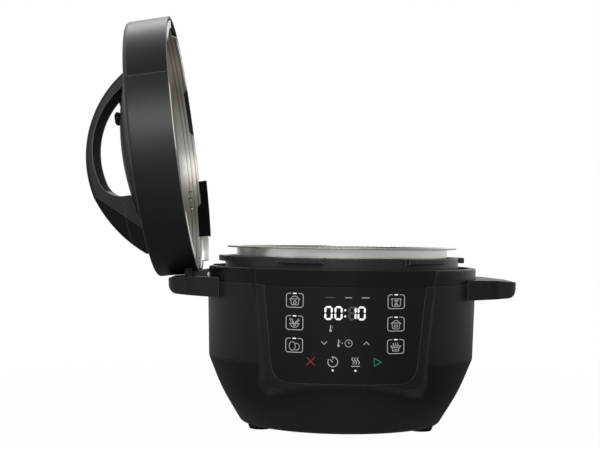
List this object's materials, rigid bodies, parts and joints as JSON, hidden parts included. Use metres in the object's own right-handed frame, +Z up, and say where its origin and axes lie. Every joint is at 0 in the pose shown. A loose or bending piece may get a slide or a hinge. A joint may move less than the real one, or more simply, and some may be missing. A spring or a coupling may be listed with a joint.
{
  "type": "electric pressure cooker",
  "caption": "Countertop electric pressure cooker with its side-hinged lid standing open, a lift-out steel pot, side grips and a curved front touch panel.",
  "frame": {"origin": "under the middle of the cooker's body, on the surface that its feet stand on", "axes": "+Z up along the pot's axis; -Y out of the control panel; +X to the panel's right, away from the lid hinge"},
  "size_m": [0.5077, 0.3475, 0.4845],
  "materials": {
    "black_plastic": "fine satin",
    "touch_gloss": "satin gloss",
    "black_rubber": "matte",
    "brushed_steel": "brushed",
    "cast_aluminium": "cast",
    "silicone": "satin",
    "circuit_board": "satin",
    "brass_pins": "plain"
  },
  "bodies": {
    "base": {"base_housing": "black_plastic", "top_ring": "black_plastic", "bottom_cover": "black_plastic", "rubber_feet": "black_rubber", "right_handle": "black_plastic", "left_handle": "black_plastic", "lid_rest_pads": "black_rubber", "touch_panel": "touch_gloss", "control_board": "circuit_board", "display_module": "black_plastic", "bayonet_ring": "black_plastic", "liner": "cast_aluminium", "liner_floor": "cast_aluminium", "drain_spout": "black_plastic", "heating_plate": "cast_aluminium", "heating_rod": "brushed_steel", "probe_guide": "brushed_steel", "probe_spring": "brushed_steel", "power_board": "circuit_board", "relay": "black_plastic", "transformer": "brushed_steel", "capacitor": "cast_aluminium", "power_inlet": "black_plastic", "inlet_pins": "brass_pins", "hinge_bracket": "brushed_steel", "hinge_pin": "brushed_steel", "board_screws": "brushed_steel", "cover_screws": "brushed_steel"},
    "probe": {"temperature_probe": "cast_aluminium"},
    "inner_pot": {"inner_pot": "brushed_steel", "pot_base": "brushed_steel"},
    "cup": {"condensation_cup": "black_plastic"},
    "lid": {"lid_cover": "black_plastic", "rim_cap": "black_plastic", "pressure_plate": "brushed_steel", "slide_ring": "black_plastic", "sealing_ring": "silicone", "seal_rack": "brushed_steel", "vent_pipe": "brushed_steel", "block_shield": "brushed_steel", "float_seal": "silicone", "button_seat": "black_plastic", "lid_handle": "black_plastic", "handle_mount": "black_plastic", "grip_insert": "black_plastic", "lid_screws": "brushed_steel"},
    "lock": {"locking_ring": "brushed_steel", "ring_guard": "black_plastic", "guard_tail": "brushed_steel", "ring_rivets": "brushed_steel"},
    "steam_valve": {"steam_valve": "black_plastic"},
    "float_valve": {"float_valve": "brushed_steel"},
    "steam_button": {"release_button": "black_plastic"}
  },
  "joints": [
    {"name": "lid_hinge", "type": "hinge", "parent": "base", "child": "lid", "pos_m": [-0.156, 0, 0.1785], "axis": [0, -1, 0], "range_deg": [-97.6, 0]},
    {"name": "lock_turn", "type": "hinge", "parent": "lid", "child": "lock", "pos_m": [-0.18853, 0, 0.33154], "axis": [-0.9912, 0, -0.1323], "range_deg": [-30, 0]},
    {"name": "pot_lift", "type": "slide", "parent": "base", "child": "inner_pot", "axis": [0, 0, 1], "range_m": [0, 0.18]},
    {"name": "probe_press", "type": "slide", "parent": "base", "child": "probe", "axis": [0, 0, 1], "range_m": [-0.003, 0], "stiffness_N_per_m": 400, "springref_m": 0.003, "deforming": ["probe_spring"]},
    {"name": "cup_pull", "type": "slide", "parent": "base", "child": "cup", "axis": [0, 1, 0], "range_m": [0, 0.03]},
    {"name": "valve_lift", "type": "slide", "parent": "lid", "child": "steam_valve", "axis": [-0.9912, 0, -0.1323], "range_m": [0, 0.004]},
    {"name": "float_rise", "type": "slide", "parent": "lid", "child": "float_valve", "axis": [-0.9912, 0, -0.1323], "range_m": [0, 0.005]},
    {"name": "button_press", "type": "slide", "parent": "lid", "child": "steam_button", "axis": [-0.9912, 0, -0.1323], "range_m": [-0.003, 0], "stiffness_N_per_m": 300, "springref_m": 0.002}
  ]
}
